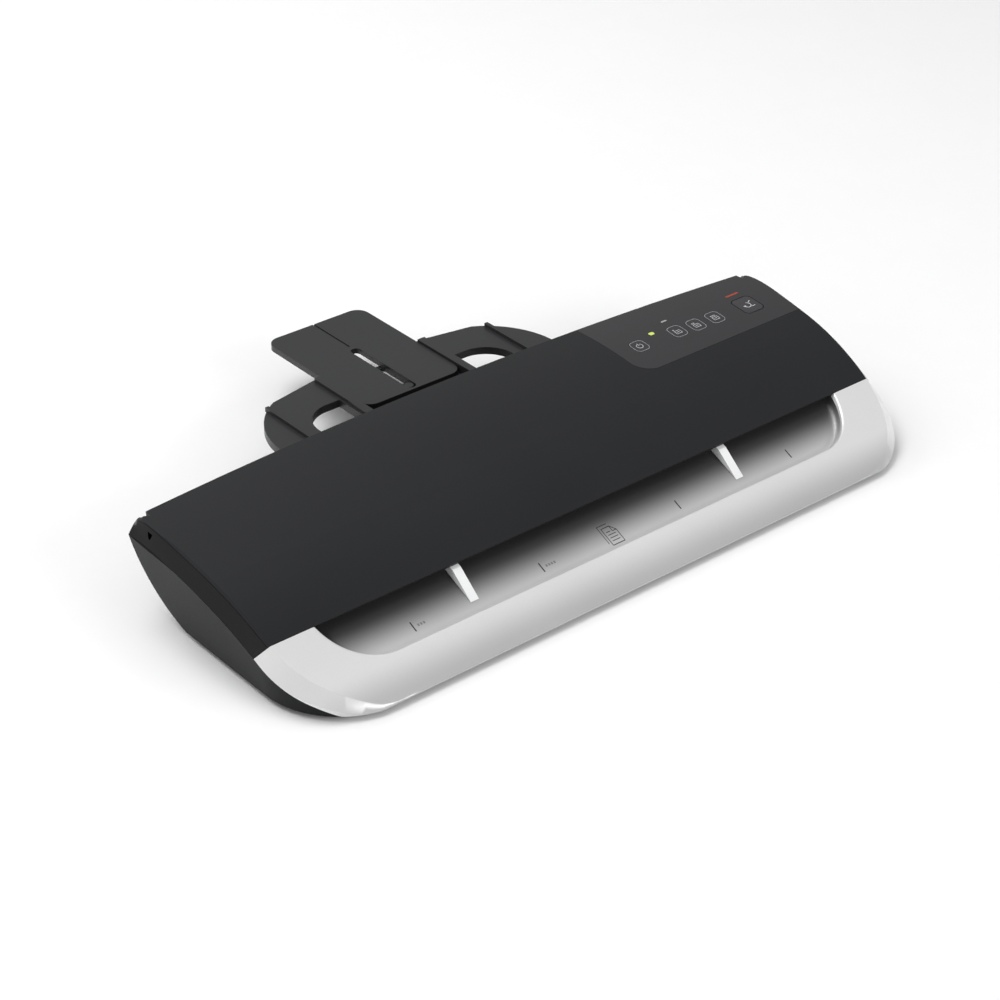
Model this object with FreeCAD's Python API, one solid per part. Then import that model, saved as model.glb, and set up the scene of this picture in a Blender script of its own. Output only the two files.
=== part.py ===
import FreeCAD, Part

import math
import os

os.makedirs("parts", exist_ok=True)

# Desktop A3 pouch laminator, millimetres.
# The model is drawn with X across the width, Y measured rearwards from the front of the nose and
# Z upwards from the table.  save() then puts the origin under the middle of the outer box.

V = FreeCAD.Vector
X_AXIS = V(1, 0, 0)
Y_AXIS = V(0, 1, 0)
Z_AXIS = V(0, 0, 1)

# ---- driving dimensions -------------------------------------------------------------------
DEPTH = 327.0              # nose to the far edge of the drawn-out exit tray
BODY_DEPTH = 182.0         # nose to the rear wall at the middle of the body
WALL = 2.5                 # casing wall
SEAM = 0.1                 # each casing piece stops this far short of a parting surface

# casing, side view: (slope at start, slope at end, y at end), each piece a circular arc
TOP_START = (195.0, 58.9)
TOP_ARCS = ((-6.3, 13.5, 98.0), (13.5, 30.0, 51.5), (30.0, 24.0, 22.5), (24.0, 52.0, -8.65))
BASE_Z = 3.5               # underside of the casing
LIP_Y = 51.5               # front edge of the top cover
LIP_SLOPE = 30.0

# casing, plan view
HALF_WIDTH = 243.3         # at the level of the lip
LIP_Z = 33.5
SIDE_DRAFT = 0.17          # the ends lean outwards by this much for each millimetre of height
CORNER_R = 52.0            # front corners
REAR_BOW_R = 2300.0        # the rear wall bows outwards
REAR_LEAN = ((0.0, 66.0), (9.0, 31.0), (44.0, 3.0))    # (set forward, z) on the rear wall

# bevelled band along the top of each end
BAND_WIDTH = 8.0
BAND_DROP = 9.0

# feed recess
RECESS_HALF = 204.0
RECESS_FRONT = 23.0
RECESS_R = 36.0
SHELF_Y = 38.0             # a point on the shelf
SHELF_Z = 19.0
SHELF_SLOPE = 24.0
SHELF_T = 2.2
SHELF_REAR = 71.0

# pouch path and rollers
NIP_Z = 36.5
ROLLER_R = 7.85
ROLLER_PITCH = 8.0         # half the distance between the two axes of a pair
SHAFT_R = 4.0
FRONT_NIP_Y = 113.0
REAR_NIP_Y = 147.0
SLEEVE_HALF = 165.0
PLATE_X = 186.0            # inner face of each side plate
PLATE_T = 2.0
PATH_HALF = 168.0
PATH_GAP = 2.6             # pouch path above and below the nip line

# gears
MODULE = 1.0
ROLLER_TEETH = 16
IDLER_TEETH = 18
DRIVE_TEETH = 40
MOTOR_TEETH = 12
GEAR_T = 6.0
GEAR_X = 191.0
DRIVE_X = 199.0
DRIVE_T = 5.0
BACKLASH = 0.12
ADDENDUM = 0.7
DEDENDUM = 0.95
PRESSURE_ANGLE = 20.0

# roller frame and motor
BUSH_R = 6.0
TIE_YS = (94.0, 130.0)
TIE_Z = 13.0
IDLER_PIN_R = 3.0
MOTOR_Y = FRONT_NIP_Y - 25.8
MOTOR_Z = NIP_Z - ROLLER_PITCH - math.sqrt(26.0 ** 2 - (FRONT_NIP_Y - MOTOR_Y) ** 2)
BRACKET_X = 205.4

# paper guides
GUIDE_X = 105.0            # set for A4
GUIDE_T = 6.0
GUIDE_IN = 51.0            # travel towards the middle
GUIDE_OUT = 46.0
PINION_TEETH = 12
PINION_Y = 63.0
RACK_T = 4.0
RACK_Z = 14.5
RACK_BACK = 5.0            # pitch line to the back of the rack
PINION_POST_R = 2.0
PINION_R = MODULE * PINION_TEETH / 2

# control panel
PANEL_LEFT = 99.0
PANEL_FRONT = 116.0
PANEL_R = 14.0
BUTTON_GAP = 0.3
RELEASE_GAP = 0.6
BUTTON_TRAVEL = 0.8
BUTTON_CAP = 1.9
BOARD_Z = 53.6
BOARD_T = 1.2
SWITCH_TOP = BOARD_Z + BOARD_T + 1.3
# (x, y, width, depth, corner radius)
BUTTONS = {
    "power_button": (117.4, 140.0, 11.5, 12.0, 3.6),
    "mode_button_1": (149.7, 139.5, 11.5, 13.0, 3.8),
    "mode_button_2": (165.4, 138.5, 11.5, 13.0, 3.8),
    "mode_button_3": (181.9, 138.2, 11.5, 13.0, 3.8),
    "release_button": (211.0, 137.7, 17.0, 18.0, 4.0),
}
LIGHTS = {
    "ready_light": (133.8, 146.6, 4.0, 3.0, 1.0),
    "status_light": (151.0, 153.5, 5.0, 1.4, 0.6),
}

# rear wall, underside and feet
REAR_SPLIT_Z = 22.0
EXIT_GAP_Z = (34.2, 41.6)
TAB_X = 84.0
TAB_HALF = 14.0
TAB_Z = (29.5, 32.0)
VENT_PITCH = 7.0
INLET_X = -205.0
INLET_HALF = 12.0
INLET_Z = (24.5, 38.5)
SCREW_SPOTS = [(side * x, y) for side in (-1, 1) for x, y in ((226, 128), (226, 57), (150, 30))]
FOOT_SPOTS = [(side * 205, y) for side in (-1, 1) for y in (38, 118)]

# exit tray
TRAY_TOP = 35.8
TRAY_T = 3.8
EXTENSION_HALF = 38.5
EXTENSION_FRONT = 219.0
SLOT_HALF = 3.5
SLOT_Y = (221.0, 284.0)
FRAME_REAR = 267.5
FRAME_HALF = 110.0
FLOOR_T = 2.2


def sin(angle):
    return math.sin(math.radians(angle))


def cos(angle):
    return math.cos(math.radians(angle))


def save(name, shape):
    """Write one sub-part, moved to the final origin."""
    out = shape.removeSplitter() if len(shape.Solids) == 1 else shape.copy()
    out.translate(V(0, -DEPTH / 2, 0))
    out.exportStep("parts/" + name + ".step")
    bad = "" if out.isValid() else "  NOT VALID"
    print(name, len(out.Solids), round(out.Volume / 1000, 2), bad)


def box(x0, x1, y0, y1, z0, z1):
    return Part.makeBox(x1 - x0, y1 - y0, z1 - z0, V(x0, y0, z0))


def rod(x0, x1, y, z, r):
    """Round bar along X."""
    return Part.makeCylinder(r, x1 - x0, V(x0, y, z), X_AXIS)


def post(x, y, z0, z1, r):
    """Round bar along Z."""
    return Part.makeCylinder(r, z1 - z0, V(x, y, z0), Z_AXIS)


def line_wire(points):
    return Part.makePolygon(list(points) + [points[0]])


def side_prism(points, x0, x1):
    """Solid with a straight-sided outline of (y, z) points, from x0 to x1."""
    face = Part.Face(line_wire([V(x0, y, z) for y, z in points]))
    return face.extrude(V(x1 - x0, 0, 0))


def plan_prism(points, z0, z1):
    """Solid with a straight-sided outline of (x, y) points, from z0 to z1."""
    face = Part.Face(line_wire([V(x, y, z0) for x, y in points]))
    return face.extrude(V(0, 0, z1 - z0))


def rounded_block(x0, x1, y0, y1, z0, z1, r):
    """Block whose upright edges are rounded."""
    block = box(x0, x1, y0, y1, z0, z1)
    uprights = [e for e in block.Edges if abs(e.tangentAt(e.FirstParameter).z) > 0.9]
    return block.makeFillet(r, uprights)


def mirror_x(shape):
    return shape.mirror(V(0, 0, 0), X_AXIS)


def fuse_all(shapes):
    return shapes[0].multiFuse(shapes[1:])


# ---- the casing as one hull ---------------------------------------------------------------
def top_arcs(inset):
    """Points (start, middle, end) of each arc of the side view, set inwards by inset."""
    y, z = TOP_START
    arcs = []
    for slope0, slope1, y_end in TOP_ARCS:
        radius = (y - y_end) / (sin(slope1) - sin(slope0))
        points = []
        for slope in (slope0, (slope0 + slope1) / 2, slope1):
            py = y - radius * (sin(slope) - sin(slope0))
            pz = z - radius * (cos(slope0) - cos(slope))
            points.append(V(0, py + inset * sin(slope), pz - inset * cos(slope)))
        arcs.append(points)
        z = z - radius * (cos(slope0) - cos(slope1))
        y = y_end
    return arcs


def top_z(y):
    """Height of the top of the casing above the table."""
    start_y, z = TOP_START
    for slope0, slope1, y_end in TOP_ARCS:
        radius = (start_y - y_end) / (sin(slope1) - sin(slope0))
        if y >= y_end:
            slope = math.degrees(math.asin(sin(slope0) + (start_y - y) / radius))
            return z - radius * (cos(slope0) - cos(slope))
        z = z - radius * (cos(slope0) - cos(slope1))
        start_y = y_end
    return z


def under_arcs(inset):
    """Everything under the top surface, set inwards by inset, as a long prism along X."""
    edges = [Part.Arc(*points).toShape() for points in top_arcs(inset)]
    nose = edges[-1].Vertexes[-1].Point
    rear = edges[0].Vertexes[0].Point
    corners = [nose, V(0, nose.y, -40), V(0, rear.y, -40), rear]
    edges += [Part.LineSegment(a, b).toShape() for a, b in zip(corners, corners[1:])]
    face = Part.Face(Part.Wire(edges))
    face.translate(V(-300, 0, 0))
    return face.extrude(V(600, 0, 0))


def side_solid(inset):
    """The side view of the casing, set inwards by inset, as a long prism along X."""
    return under_arcs(inset).common(box(-300, 300, inset, 240, BASE_Z + inset, 100))


def half_width(z):
    return HALF_WIDTH + SIDE_DRAFT * (z - LIP_Z)


def plan_solid(inset):
    """The plan outline with its leaning ends, set inwards by inset."""
    def outline(z):
        w = half_width(z) - inset
        r = CORNER_R - inset
        k = r * (1 - math.sqrt(0.5))
        front = inset - 1.0
        left = [V(-w, 220, z), V(-w, front + r, z), V(-w + k, front + k, z), V(-w + r, front, z)]
        right = [V(-p.x, p.y, p.z) for p in left]
        edges = [Part.LineSegment(left[0], left[1]), Part.Arc(*left[1:]),
                 Part.LineSegment(left[3], right[3]), Part.Arc(*reversed(right[1:])),
                 Part.LineSegment(right[1], right[0]), Part.LineSegment(right[0], left[0])]
        return Part.Wire([e.toShape() for e in edges])
    return Part.makeLoft([outline(-10), outline(90)], True, True)


def rear_solid(inset):
    """Everything in front of the bowed, leaning rear wall, set inwards by inset."""
    reach = BODY_DEPTH - inset
    arc = [V(0, reach - forward, z) for forward, z in REAR_LEAN]
    corners = [arc[2], V(0, arc[2].y, -30), V(0, -80, -30), V(0, -80, 90), V(0, reach, 90), arc[0]]
    edges = [Part.Arc(*arc).toShape()]
    edges += [Part.LineSegment(a, b).toShape() for a, b in zip(corners, corners[1:])]
    face = Part.Face(Part.Wire(edges))
    centre = V(0, BODY_DEPTH - REAR_BOW_R, 0)
    face.rotate(centre, Z_AXIS, -8)
    return face.revolve(centre, Z_AXIS, 16)


def band_section(x, y, angle, width, drop):
    """Section across the bevel: a quad that holds all that the bevel takes away."""
    z = top_z(y)
    out = V(cos(angle), -sin(angle), 0)
    inner = V(x, y, z) - out * width
    inner.z = top_z(inner.y)
    outer = V(x, y, z - drop)
    step = (outer - inner) * 0.4
    low_in = inner - step
    low_out = outer + step
    return line_wire([low_in, low_out, V(low_out.x, low_out.y, 95), V(low_in.x, low_in.y, 95)])


def band_cutter(inset):
    """Solid that bevels the right-hand top edge and fades out round the front corner."""
    width = BAND_WIDTH - 0.6 * inset
    drop = BAND_DROP - 0.6 * inset
    r = CORNER_R
    centre_y = r - 1.0
    sections = []
    for y in (200, 165, 130, 98, 74, centre_y + 1):
        z = top_z(y) - drop - inset
        section = band_section(half_width(z) - inset, y, 0, width, drop)
        section.translate(V(0, 0, -inset))
        sections.append(section)
    for angle in (12, 24, 36, 48, 60, 72, 84):
        y = centre_y - (r - inset) * sin(angle)
        z = top_z(y) - drop
        x = half_width(z) - r + (r - inset) * cos(angle)
        fade = cos(angle)
        section = band_section(x, y, angle, width * fade, drop * fade)
        section.translate(V(0, 0, -inset))
        sections.append(section)
    return Part.makeLoft(sections, True, False)


def hull(inset):
    solid = side_solid(inset).common(plan_solid(inset)).common(rear_solid(inset))
    right = band_cutter(inset)
    return solid.cut(right).cut(mirror_x(right))


# ---- casing pieces ------------------------------------------------------------------------
def ahead_of_lip(offset=0.0):
    """Space in front of the sloping plane that parts the top cover from the feed tray."""
    space = box(-300, 300, -400, offset, -200, 200)
    space.rotate(V(0, 0, 0), X_AXIS, LIP_SLOPE)
    space.translate(V(0, LIP_Y, LIP_Z))
    return space


def under_top(drop):
    """Space under the top surface lowered by drop."""
    space = under_arcs(0)
    space.translate(V(0, 0, -drop))
    return space


def recess_prism(grow, z0, z1, rear):
    """Plan shape of the feed recess: straight sides and round front corners."""
    half = RECESS_HALF + grow
    r = RECESS_R + grow
    block = box(-half, half, RECESS_FRONT - grow, rear, z0, z1)
    fronts = [e for e in block.Edges
              if abs(e.tangentAt(e.FirstParameter).z) > 0.9 and e.Vertexes[0].Y < RECESS_FRONT + 1]
    return block.makeFillet(r, fronts)


def shelf_z(y):
    return SHELF_Z + (y - SHELF_Y) * math.tan(math.radians(SHELF_SLOPE))


def above_shelf(offset, rear, x_half):
    """Space above the shelf plane, from the nose back to rear."""
    return side_prism([(0, shelf_z(0) + offset), (rear, shelf_z(rear) + offset), (rear, 90), (0, 90)],
                      -x_half, x_half)


outer = hull(0)
inner = hull(WALL)
shell = outer.cut(inner)
band_inside = plan_solid(BAND_WIDTH + SEAM)
band_outside = plan_solid(BAND_WIDTH - SEAM)
sides_inside = plan_solid(WALL + 0.05)
sides_outside = plan_solid(WALL - 0.05)
above_band = under_top(BAND_DROP - SEAM)
below_band = under_top(BAND_DROP + SEAM)
front = ahead_of_lip(-SEAM)
not_rear = ahead_of_lip(SEAM)


def make_feed_tray():
    skin = shell.common(front).cut(above_band)
    rim = recess_prism(SHELF_T, 0, 90, 90).common(outer).common(front)
    rim = rim.common(above_shelf(-SHELF_T, 90, 300))
    shelf = side_prism([(20, shelf_z(20) - SHELF_T), (SHELF_REAR, shelf_z(SHELF_REAR) - SHELF_T),
                        (SHELF_REAR, shelf_z(SHELF_REAR)), (20, shelf_z(20))],
                       -RECESS_HALF + 20, RECESS_HALF - 20)
    shelf = shelf.cut(box(-300, 300, 0, RECESS_FRONT, 0, 90))
    tray = fuse_all([skin, rim, shelf])
    tray = tray.cut(recess_prism(0, 0, 90, 90).common(above_shelf(0, 90, 300)))
    for side in (-1, 1):
        slot = box(GUIDE_X - GUIDE_IN - 4.2, GUIDE_X + GUIDE_OUT + 4.2, PINION_Y - 2.3, PINION_Y + 2.3, 0, 60)
        tray = tray.cut(slot if side > 0 else mirror_x(slot))
    return tray


def panel_prism(grow):
    """Plan shape of the control panel: it runs off the right end and the rear edge."""
    block = box(PANEL_LEFT - grow, 320, PANEL_FRONT - grow, 320, 30, 90)
    corner = [e for e in block.Edges if abs(e.tangentAt(e.FirstParameter).z) > 0.9
              and e.Vertexes[0].X < 120 and e.Vertexes[0].Y < 130]
    return block.makeFillet(PANEL_R, corner)


def largest(shape):
    return max(shape.Solids, key=lambda solid: solid.Volume)


def button_prism(spec, shrink):
    """Upright rounded prism of one button or of the hole round it."""
    x, y, w, d, r = spec
    return rounded_block(x - w / 2 + shrink, x + w / 2 - shrink, y - d / 2 + shrink, y + d / 2 - shrink,
                         40, 80, r - shrink)


def make_top_pieces():
    """Top cover and control panel, which share one skin."""
    skin = largest(shell.cut(not_rear).common(band_inside).cut(under_top(BAND_DROP)))
    panel = skin.common(panel_prism(-SEAM))
    cover = largest(skin.cut(panel_prism(SEAM)))
    holes = [button_prism(spec, 0) for spec in BUTTONS.values()]
    holes += [button_prism(spec, 0) for spec in LIGHTS.values()]
    return cover, largest(panel.cut(fuse_all(holes)))


def make_buttons():
    """Push buttons: a cap of the panel's own skin on a round stem over its switch."""
    skin = outer.cut(hull(BUTTON_CAP))
    for name, spec in BUTTONS.items():
        gap = RELEASE_GAP if name == "release_button" else BUTTON_GAP
        cap = skin.common(button_prism(spec, gap))
        x, y = spec[0], spec[1]
        stem = post(x, y, SWITCH_TOP + BUTTON_TRAVEL + 0.1, top_z(y) - 1.0, 1.8)
        save(name, cap.fuse(stem))
    for name, spec in LIGHTS.items():
        save(name, skin.common(button_prism(spec, 0.05)))


def make_control_board():
    board = box(106, 223, 128.5, 151, BOARD_Z, BOARD_Z + BOARD_T)
    save("control_board", board)
    switches = []
    for spec in BUTTONS.values():
        x, y = spec[0], spec[1]
        body = box(x - 3, x + 3, y - 3, y + 3, BOARD_Z + BOARD_T, BOARD_Z + BOARD_T + 0.9)
        switches.append(body.fuse(post(x, y, BOARD_Z + BOARD_T + 0.9, SWITCH_TOP, 1.4)))
    save("button_switches", Part.makeCompound(switches))


def make_casing():
    save("feed_tray", largest(make_feed_tray()))
    cover, panel = make_top_pieces()
    save("top_cover", cover)
    save("control_panel", panel)
    trims = shell.cut(not_rear).cut(band_outside).cut(above_band)
    caps = shell.cut(sides_outside).common(below_band)
    for name, side in (("left", -1), ("right", 1)):
        half = box(0, 300, -10, 300, -10, 100)
        if side < 0:
            half = mirror_x(half)
        save(name + "_side_trim", largest(trims.common(half)))
        save(name + "_end_cap", largest(caps.common(half)))
    save("rear_panel", make_rear_panel())
    save("base_pan", make_base_pan())


def make_rear_panel():
    panel = shell.common(sides_inside).common(below_band)
    panel = largest(panel.common(box(-300, 300, 100, 300, REAR_SPLIT_Z + SEAM, 90)))
    slot = box(-PATH_HALF, PATH_HALF, 140, 200, *EXIT_GAP_Z)
    notch = box(-EXTENSION_HALF - 1.2, EXTENSION_HALF + 1.2, 140, 200, 28.6, 36)
    tabs = [box(x - TAB_HALF - 0.3, x + TAB_HALF + 0.3, 140, 200, TAB_Z[0] - 0.3, TAB_Z[1] + 0.3)
            for x in (-TAB_X, TAB_X)]
    inlet = box(INLET_X - INLET_HALF - 0.1, INLET_X + INLET_HALF + 0.1, 140, 200,
                INLET_Z[0] - 0.1, INLET_Z[1] + 0.1)
    return panel.cut(fuse_all([slot, notch])).cut(fuse_all(tabs)).cut(inlet)


def make_base_pan():
    pan = shell.common(sides_inside).common(below_band)
    pan = largest(pan.common(box(-300, 300, -10, 300, -10, REAR_SPLIT_Z - SEAM)))
    vents = [rounded_block(x - 1.5, x + 1.5, 60, 110, 0, 10, 1.4)
             for x in [side * (60 + VENT_PITCH * i) for side in (-1, 1) for i in range(12)]]
    bosses = [post(x, y, BASE_Z + 1, 11, 4) for x, y in SCREW_SPOTS]
    bosses.append(post(0, PINION_Y, BASE_Z + 1, RACK_Z - 1.3, 4).fuse(
        post(0, PINION_Y, BASE_Z + 1, RACK_Z + RACK_T + 1, PINION_POST_R)))
    for y in (PINION_Y - PINION_R - RACK_BACK + 1, PINION_Y + PINION_R + RACK_BACK - 3):
        bosses.append(box(-156, 156, y, y + 2, BASE_Z + 1, RACK_Z - 0.1))
    bosses += [post(x, y, BASE_Z + 1, 10, 2.5) for x in (-229, -199) for y in (67, 119)]
    pan = pan.cut(fuse_all(vents))
    return largest(pan.fuse(bosses).cut(fuse_all([post(x, y, 0, 20, 1.6) for x, y in SCREW_SPOTS])))


def make_small_outside_pieces():
    feet = []
    for x, y in FOOT_SPOTS:
        feet.append(post(x, y, 0, BASE_Z, 7).fuse(post(x, y, 0.6, BASE_Z, 8)))
    save("rubber_feet", Part.makeCompound(feet))
    screws = []
    for x, y in SCREW_SPOTS:
        head = post(x, y, BASE_Z - 1.2, BASE_Z, 2.8).cut(box(x - 0.4, x + 0.4, y - 2, y + 2, 0, BASE_Z - 0.6))
        screws.append(head.fuse(post(x, y, BASE_Z - 0.1, 12, 1.55)))
    save("base_screws", Part.makeCompound(screws))
    save("power_inlet", make_power_inlet())


def make_power_inlet():
    """Mains socket whose face stands a little proud of the rear wall."""
    block = box(INLET_X - INLET_HALF, INLET_X + INLET_HALF, 144, 180, *INLET_Z)
    block = block.common(rear_solid(-0.8))
    mid_z = sum(INLET_Z) / 2
    depth_y = 150.0
    socket = rounded_block(INLET_X - 8.5, INLET_X + 8.5, depth_y, 180, mid_z - 4.5, mid_z + 4.5, 0.5)
    pins = [Part.makeCylinder(1.2, 10, V(INLET_X + dx, depth_y - 0.5, mid_z), Y_AXIS) for dx in (-4.3, 4.3)]
    return block.cut(socket).fuse(pins)


# ---- paper guides -------------------------------------------------------------------------
def make_guide():
    """Right-hand paper guide: a fin that stands on the shelf, with a foot through its slot."""
    gap = 0.3
    toe_y = 34.0
    heel_y = 76.0
    outline = [(toe_y, shelf_z(toe_y) + gap), (LIP_Y - 1.0, 30.8), (LIP_Y + 3.0, 32.3), (62.0, 34.8),
               (heel_y, 38.6), (heel_y, shelf_z(heel_y) + gap)]
    fin = side_prism(outline, GUIDE_X - GUIDE_T / 2, GUIDE_X + GUIDE_T / 2)
    foot = box(GUIDE_X - 3, GUIDE_X + 3, PINION_Y - 1.9, PINION_Y + 1.9, RACK_Z + RACK_T, 33)
    arm = box(GUIDE_X - 3, GUIDE_X + 3, PINION_Y - 1.9, PINION_Y + PINION_R + RACK_BACK,
              RACK_Z + RACK_T, RACK_Z + RACK_T + 2.4)
    return fin.fuse(foot).fuse(arm)


def rack_solid():
    """Rack of the right-hand guide: it lies behind the pinion with its teeth facing forwards."""
    x0 = -56.0
    x1 = GUIDE_X + 3
    pitch = math.pi * MODULE
    pitch_y = PINION_Y + PINION_R
    root = pitch_y + DEDENDUM
    tip = pitch_y - ADDENDUM
    half = pitch / 4 - BACKLASH / 2
    wide = half + (DEDENDUM + 0.2) * math.tan(math.radians(PRESSURE_ANGLE))
    narrow = half - ADDENDUM * math.tan(math.radians(PRESSURE_ANGLE))
    bar = box(x0, x1, root, pitch_y + RACK_BACK, RACK_Z, RACK_Z + RACK_T)
    teeth = []
    x = pitch / 2 - pitch * math.floor((pitch / 2 - x0 - wide) / pitch)
    while x + wide < x1:
        teeth.append(plan_prism([(x - wide, root + 0.2), (x + wide, root + 0.2),
                                 (x + narrow, tip), (x - narrow, tip)], RACK_Z, RACK_Z + RACK_T))
        x += pitch
    return bar.multiFuse(teeth)


def gear_outline(teeth, tooth_at):
    """Points (u, v) of an involute gear with the middle of one tooth at the angle tooth_at."""
    pitch_r = MODULE * teeth / 2
    base_r = pitch_r * cos(PRESSURE_ANGLE)
    tip_r = pitch_r + ADDENDUM
    root_r = pitch_r - DEDENDUM
    half_tooth = math.pi / (2 * teeth) - BACKLASH / (2 * pitch_r)
    involute_at_pitch = math.tan(math.radians(PRESSURE_ANGLE)) - math.radians(PRESSURE_ANGLE)
    flank = [(root_r, half_tooth + involute_at_pitch)]
    steps = 5
    start_r = max(base_r, root_r + 0.01)
    for i in range(steps + 1):
        r = start_r + (tip_r - start_r) * i / steps
        roll = math.sqrt(max((r / base_r) ** 2 - 1, 0))
        flank.append((r, half_tooth + involute_at_pitch - (roll - math.atan(roll))))
    points = []
    for tooth in range(teeth):
        middle = math.radians(tooth_at) + 2 * math.pi * tooth / teeth
        points += [(r, middle - half) for r, half in flank]
        points += [(r, middle + half) for r, half in reversed(flank)]
    return [(r * math.cos(a), r * math.sin(a)) for r, a in points]


def gear_along_x(teeth, y, z, x0, x1, tooth_at, bore_r):
    """Spur gear whose axis lies along X; angles turn from +Y towards +Z."""
    outline = [(y + u, z + v) for u, v in gear_outline(teeth, tooth_at)]
    return side_prism(outline, x0, x1).cut(rod(x0 - 1, x1 + 1, y, z, bore_r))


def make_paper_guides():
    guide = make_guide()
    rack = rack_solid()
    save("right_paper_guide", guide)
    save("right_guide_rack", rack)
    centre = V(0, PINION_Y, 0)
    for name, shape in (("left_paper_guide", guide), ("left_guide_rack", rack)):
        turned = shape.copy()
        turned.rotate(centre, Z_AXIS, 180)
        if name == "left_paper_guide":
            turned = make_left_guide(guide)
        save(name, turned)
    outline = [(u, PINION_Y + v) for u, v in gear_outline(PINION_TEETH, 90)]
    pinion = plan_prism(outline, RACK_Z, RACK_Z + RACK_T)
    hub = post(0, PINION_Y, RACK_Z - 1.0, RACK_Z, 3.5)
    bore = post(0, PINION_Y, 0, 40, PINION_POST_R + 0.06)
    save("guide_pinion", pinion.fuse(hub).cut(bore))


def make_left_guide(guide):
    """The left fin mirrors the right one, but its arm reaches forwards to the front rack."""
    fin = mirror_x(guide).cut(box(-130, -80, PINION_Y + 1.9, 90, 0, RACK_Z + RACK_T + 2.4))
    arm = box(-GUIDE_X - 3, -GUIDE_X + 3, PINION_Y - PINION_R - RACK_BACK, PINION_Y + 1.9,
              RACK_Z + RACK_T, RACK_Z + RACK_T + 2.4)
    return fin.fuse(arm)


# ---- roller frame -------------------------------------------------------------------------
def make_side_plates():
    outline = [(88, 6.2), (88, 40), (100, 46), (113, 52.6), (160, 52.6), (160, 36), (157, 30), (149, 20),
               (138, 12), (126, 6.2)]
    plate = side_prism(outline, PLATE_X, PLATE_X + PLATE_T)
    flange = box(PLATE_X - 8, PLATE_X, 88, 124, 6.2, 7.8)
    plate = plate.fuse(flange)
    for y in (FRONT_NIP_Y, REAR_NIP_Y):
        lower = rod(180, 195, y, NIP_Z - ROLLER_PITCH, BUSH_R)
        upper = rod(180, 195, y, NIP_Z + ROLLER_PITCH, BUSH_R)
        slot = box(180, 195, y - BUSH_R, y + BUSH_R, NIP_Z + ROLLER_PITCH, NIP_Z + ROLLER_PITCH + 1.2)
        plate = plate.cut(fuse_all([lower, upper, slot]))
    save("right_side_plate", plate)
    save("left_side_plate", mirror_x(plate))
    bars = [rod(-PLATE_X, PLATE_X, y, TIE_Z, 3) for y in TIE_YS]
    save("tie_bars", Part.makeCompound(bars))


def make_bushes():
    bushes = []
    springs = []
    for side in (-1, 1):
        for y in (FRONT_NIP_Y, REAR_NIP_Y):
            for z in (NIP_Z - ROLLER_PITCH, NIP_Z + ROLLER_PITCH):
                bush = rod(PLATE_X - 0.05, PLATE_X + PLATE_T + 0.8, y, z, BUSH_R - 0.05)
                flange = rod(PLATE_X - 1.5, PLATE_X - 0.05, y, z, BUSH_R + 1.0)
                bush = bush.fuse(flange).cut(rod(180, 195, y, z, SHAFT_R + 0.05))
                bushes.append(bush if side > 0 else mirror_x(bush))
            leaf = make_leaf_spring(y, NIP_Z + ROLLER_PITCH + BUSH_R)
            springs.append(leaf if side > 0 else mirror_x(leaf))
    save("roller_bushes", Part.makeCompound(bushes))
    save("pressure_springs", Part.makeCompound(springs))


def make_leaf_spring(y, z):
    """Bowed strip that presses on one upper bush."""
    lower = Part.Arc(V(0, y - 6, z - 0.7), V(0, y, z), V(0, y + 6, z - 0.7)).toShape()
    upper = lower.copy()
    upper.translate(V(0, 0, 0.5))
    sides = [Part.LineSegment(lower.Vertexes[i].Point, upper.Vertexes[i].Point).toShape() for i in (0, 1)]
    strip = Part.Face(Part.Wire(Part.__sortEdges__([lower, sides[0], upper, sides[1]])))
    strip.translate(V(PLATE_X + PLATE_T + 0.05, 0, 0))
    return strip.extrude(V(0.7, 0, 0))


def make_rollers():
    rollers = (("lower_front", FRONT_NIP_Y, -1, DRIVE_X + DRIVE_T + 0.5, 0.0),
               ("upper_front", FRONT_NIP_Y, 1, GEAR_X + GEAR_T + 1, 180.0 / ROLLER_TEETH),
               ("lower_rear", REAR_NIP_Y, -1, GEAR_X + GEAR_T + 1, 0.0),
               ("upper_rear", REAR_NIP_Y, 1, GEAR_X + GEAR_T + 1, 180.0 / ROLLER_TEETH))
    for name, y, level, shaft_end, tooth_at in rollers:
        z = NIP_Z + level * ROLLER_PITCH
        save(name + "_shaft", rod(-192, shaft_end, y, z, SHAFT_R))
        sleeve = rod(-SLEEVE_HALF, SLEEVE_HALF, y, z, ROLLER_R)
        save(name + "_roller", sleeve.cut(rod(-200, 200, y, z, SHAFT_R)))
        save(name + "_gear", gear_along_x(ROLLER_TEETH, y, z, GEAR_X, GEAR_X + GEAR_T, tooth_at, SHAFT_R))


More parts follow.
